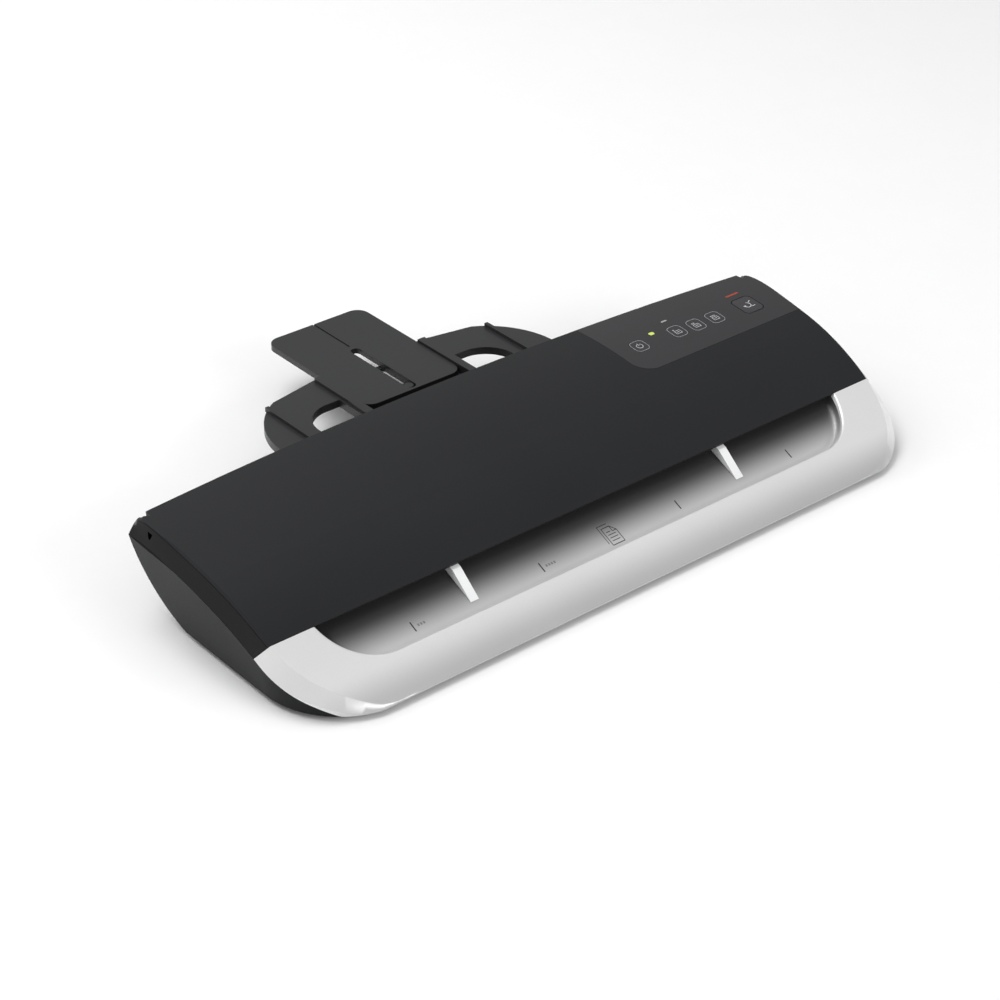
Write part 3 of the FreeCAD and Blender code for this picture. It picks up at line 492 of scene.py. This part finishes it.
def bar(x0, y0, x1, y1, width):
    """Quad along a line from (x0, y0) to (x1, y1)."""
    length = math.hypot(x1 - x0, y1 - y0)
    ux, uy = -(y1 - y0) / length * width / 2, (x1 - x0) / length * width / 2
    return [(x0 + ux, y0 + uy), (x0 - ux, y0 - uy), (x1 - ux, y1 - uy), (x1 + ux, y1 + uy)]


def path(points, width, closed=False):
    pairs = list(zip(points, points[1:]))
    if closed:
        pairs.append((points[-1], points[0]))
    return [bar(*a, *b, width) for a, b in pairs]


def ring_quads(outer, inner):
    n = len(outer)
    return [[outer[i], outer[(i + 1) % n], inner[(i + 1) % n], inner[i]] for i in range(n)]


def arc(cx, cy, r, start=0.0, end=360.0, steps=24):
    angles = [start + (end - start) * i / steps for i in range(steps + 1)]
    return [(cx + r * cos(angle), cy + r * sin(angle)) for angle in angles]


def rounded(cx, cy, w, d, r, steps=8):
    points = []
    for sx, sy, start in ((1, 1, 0), (-1, 1, 90), (-1, -1, 180), (1, -1, 270)):
        points += arc(cx + sx * (w / 2 - r), cy + sy * (d / 2 - r), r, start, start + 90, steps)
    return points


def outline_ring(cx, cy, w, d, r, width):
    return ring_quads(rounded(cx, cy, w, d, r), rounded(cx, cy, w - 2 * width, d - 2 * width, r - width))


# size marks on the shelf, the outer pair at the A3 width, with short dashes for their labels
MARK_XS = (-148.5, -54.0, 54.0, 148.5)
MARK_Y0, MARK_Y1, MARK_WIDTH = 32.3, 38.4, 0.75
DASH_Y, DASH_OFFSET, DASH_PITCH, DASH_LENGTH, DASH_WIDTH = 35.2, 3.0, 2.0, 1.3, 1.5
LABEL_DASHES = {-148.5: 3, -54.0: 4}

for x in MARK_XS:
    side_letter = "l" if x < 0 else "r"
    decal(f"size_mark_{side_letter}{abs(int(x))}", [bar(x, MARK_Y0, x, MARK_Y1, MARK_WIDTH)],
          shelf_z, "mark", "body")
for x, count in LABEL_DASHES.items():
    starts = [x + DASH_OFFSET + DASH_PITCH * i for i in range(count)]
    dashes = [bar(start, DASH_Y, start + DASH_LENGTH, DASH_Y, DASH_WIDTH) for start in starts]
    decal(f"size_label_{abs(int(x))}", dashes, shelf_z, "mark_grey", "body")


# generic document icon: a sheet with a folded corner, bars on it and a second sheet's edge behind
SHEET_LEFT, SHEET_RIGHT, SHEET_FRONT, SHEET_BACK = -3.2, 6.0, 29.5, 41.0
FOLD_X, FOLD_Y = 3.0, 37.6
SHEET_LINE, THIN_LINE = 0.45, 0.4
BARS_LEFT, BARS_RIGHT, BAR_YS = -1.6, 4.4, (32.0, 34.0, 36.0)
LAST_BAR_Y, LAST_BAR_RIGHT = 38.0, 1.6
BEHIND = 1.8                                  # the second sheet's edge shows this far to the left
BEHIND_Y0, BEHIND_Y1, BEHIND_RIGHT = 31.2, 43.0, 2.4


def document_icon():
    lines = path([(SHEET_LEFT, SHEET_FRONT), (SHEET_RIGHT, SHEET_FRONT), (SHEET_RIGHT, FOLD_Y),
                  (FOLD_X, SHEET_BACK), (SHEET_LEFT, SHEET_BACK)], SHEET_LINE, closed=True)
    lines += path([(FOLD_X, SHEET_BACK), (FOLD_X, FOLD_Y), (SHEET_RIGHT, FOLD_Y)], THIN_LINE)
    lines += [bar(BARS_LEFT, y, BARS_RIGHT, y, THIN_LINE) for y in BAR_YS]
    lines.append(bar(BARS_LEFT, LAST_BAR_Y, LAST_BAR_RIGHT, LAST_BAR_Y, THIN_LINE))
    left = SHEET_LEFT - BEHIND
    return lines + path([(left, BEHIND_Y0), (left, BEHIND_Y1), (BEHIND_RIGHT, BEHIND_Y1)], THIN_LINE)


decal("document_icon", document_icon(), shelf_z, "mark", "body")


# button outlines and glyphs, in millimetres from the middle of each button
BUTTON_RADIUS, OUTLINE_WIDTH = 3.4, 0.4
POWER_RING_R, POWER_RING_Y, POWER_GAP = 2.2, -0.2, (125, 415)
POWER_BAR_Y0, POWER_BAR_Y1, GLYPH_LINE = 0.2, 2.9, 0.45
POUCH_HALF, POUCH_FRONT, POUCH_BACK = 2.2, -2.6, 0.6
POUCH_LINE, POUCH_LINE_HALF, POUCH_LINE_Y = 0.4, 1.2, -1.0
COUNT_PITCH, COUNT_LENGTH, COUNT_Y, COUNT_WIDTH = 1.5, 0.9, 2.0, 0.9
RELEASE_ARC_X, RELEASE_ARC_Y, RELEASE_ARC_R = -0.6, -0.4, 2.6
RELEASE_ARC_ANGLES, RELEASE_ARC_STEPS = (200, 430), 16
ARROW_HEAD = ((-4.2, -0.2), (-1.8, -0.2), (-3.0, -2.2))
RELEASE_BARS = (((1.2, -3.0), (4.2, -3.0)), ((2.2, 1.6), (4.6, 3.0)))
RELEASE_LINE = 0.6
RED_BAR_X0, RED_BAR_X1, RED_BAR_Y, RED_BAR_WIDTH = 205.6, 216.4, 152.3, 1.5


def button_spec(node):
    """Middle, width and depth of a button, in drawn millimetres."""
    low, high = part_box(node)
    return ((low.x + high.x) / 2 / MM, (low.y + high.y) / 2 / MM - NOSE_Y,
            (high.x - low.x) / MM, (high.y - low.y) / MM)


def power_glyph(x, y):
    ring = path(arc(x, y + POWER_RING_Y, POWER_RING_R, *POWER_GAP), GLYPH_LINE)
    return ring + [bar(x, y + POWER_BAR_Y0, x, y + POWER_BAR_Y1, GLYPH_LINE)]


def mode_glyph(x, y, count):
    """A pouch with one to three bars above it."""
    left, right = x - POUCH_HALF, x + POUCH_HALF
    front, back = y + POUCH_FRONT, y + POUCH_BACK
    glyph = path([(left, front), (right, front), (right, back), (left, back)], POUCH_LINE, closed=True)
    starts = [left + COUNT_PITCH * i for i in range(count)]
    glyph += [bar(start, y + COUNT_Y, start + COUNT_LENGTH, y + COUNT_Y, COUNT_WIDTH) for start in starts]
    line_y = y + POUCH_LINE_Y
    return glyph + [bar(x - POUCH_LINE_HALF, line_y, x + POUCH_LINE_HALF, line_y, POUCH_LINE)]


def release_glyph(x, y):
    """A curved arrow with two short bars."""
    curve = arc(x + RELEASE_ARC_X, y + RELEASE_ARC_Y, RELEASE_ARC_R, *RELEASE_ARC_ANGLES, RELEASE_ARC_STEPS)
    glyph = path(curve, RELEASE_LINE)
    glyph.append([(x + dx, y + dy) for dx, dy in ARROW_HEAD])
    for ends in RELEASE_BARS:
        glyph += path([(x + dx, y + dy) for dx, dy in ends], RELEASE_LINE)
    return glyph


for node in ("power_button", "mode_button_1", "mode_button_2", "mode_button_3"):
    x, y, w, d = button_spec(node)
    ring = outline_ring(x, y, w, d, BUTTON_RADIUS, OUTLINE_WIDTH)
    decal(node + "_outline", ring, top_z, "line", node)
    glyph = power_glyph(x, y) if node == "power_button" else mode_glyph(x, y, int(node[-1]))
    decal(node + "_glyph", glyph, top_z, "icon", node)

x, y, _, _ = button_spec("release_button")
decal("release_button_glyph", release_glyph(x, y), top_z, "icon", "release_button")
decal("release_red_bar", [bar(RED_BAR_X0, RED_BAR_Y, RED_BAR_X1, RED_BAR_Y, RED_BAR_WIDTH)],
      top_z, "red", "body")


# ---- floor, light and camera ---------------------------------------------------------------
FLOOR_HALF = 6.0
AIM = (0, 0, 0.03)
# name, position, target, size, watts
LIGHTS = (("key_light", (-0.5, 0.55, 1.9), (0, 0, 0), (1.5, 1.1), 21),
          ("rear_light", (-0.7, 2.1, 1.5), AIM, (1.8, 0.8), 14),
          ("left_fill", (-2.4, -0.2, 0.9), AIM, (1.2, 0.8), 2),
          ("front_light", (0.7, -2.3, 1.1), AIM, (1.8, 0.7), 24))
SKY_STRENGTH = 0.5
CAMERA_AT = (-0.861727, -1.027386, 0.822864)
CAMERA_TURN, CAMERA_DIP, CAMERA_ROLL = -40.761, 32.155, 1.043
LENS, SENSOR_WIDTH, CLIP_END = 90.85, 36.0, 50.0


def link_object(name, data):
    obj = bpy.data.objects.new(name, data)
    bpy.context.scene.collection.objects.link(obj)
    return obj


def build_floor():
    mesh = bpy.data.meshes.new("floor")
    corners = [(-FLOOR_HALF, -FLOOR_HALF, 0), (FLOOR_HALF, -FLOOR_HALF, 0),
               (FLOOR_HALF, FLOOR_HALF, 0), (-FLOOR_HALF, FLOOR_HALF, 0)]
    mesh.from_pydata(corners, [], [(0, 1, 2, 3)])
    floor = link_object("floor", mesh)
    dress(floor, material("floor_white", (0.92, 0.92, 0.92), 0.7, vary=0.005, grain=60, bump=0.0))


def area_light(name, position, target, size, watts):
    light = bpy.data.lights.new(name, "AREA")
    light.shape = "RECTANGLE"
    light.size, light.size_y = size
    light.energy = watts
    obj = link_object(name, light)
    obj.location = position
    obj.rotation_euler = (Vector(target) - Vector(position)).to_track_quat("-Z", "Y").to_euler()


def build_sky():
    world = bpy.data.worlds.new("studio")
    bpy.context.scene.world = world
    world.use_nodes = True
    background = world.node_tree.nodes["Background"]
    background.inputs["Color"].default_value = (1, 1, 1, 1)
    background.inputs["Strength"].default_value = SKY_STRENGTH
    bpy.context.scene.view_settings.view_transform = "Standard"


def build_camera():
    data = bpy.data.cameras.new("camera")
    data.lens = LENS
    data.sensor_width = SENSOR_WIDTH
    data.clip_end = CLIP_END
    camera = link_object("camera", data)
    camera.location = CAMERA_AT
    turn = Matrix.Rotation(math.radians(CAMERA_TURN), 3, "Z")
    tilt = Matrix.Rotation(math.radians(90 - CAMERA_DIP), 3, "X")
    roll = Matrix.Rotation(math.radians(CAMERA_ROLL), 3, "Z")
    camera.rotation_euler = (turn @ tilt @ roll).to_euler()
    bpy.context.scene.camera = camera


build_floor()
for light_row in LIGHTS:
    area_light(*light_row)
build_sky()
build_camera()
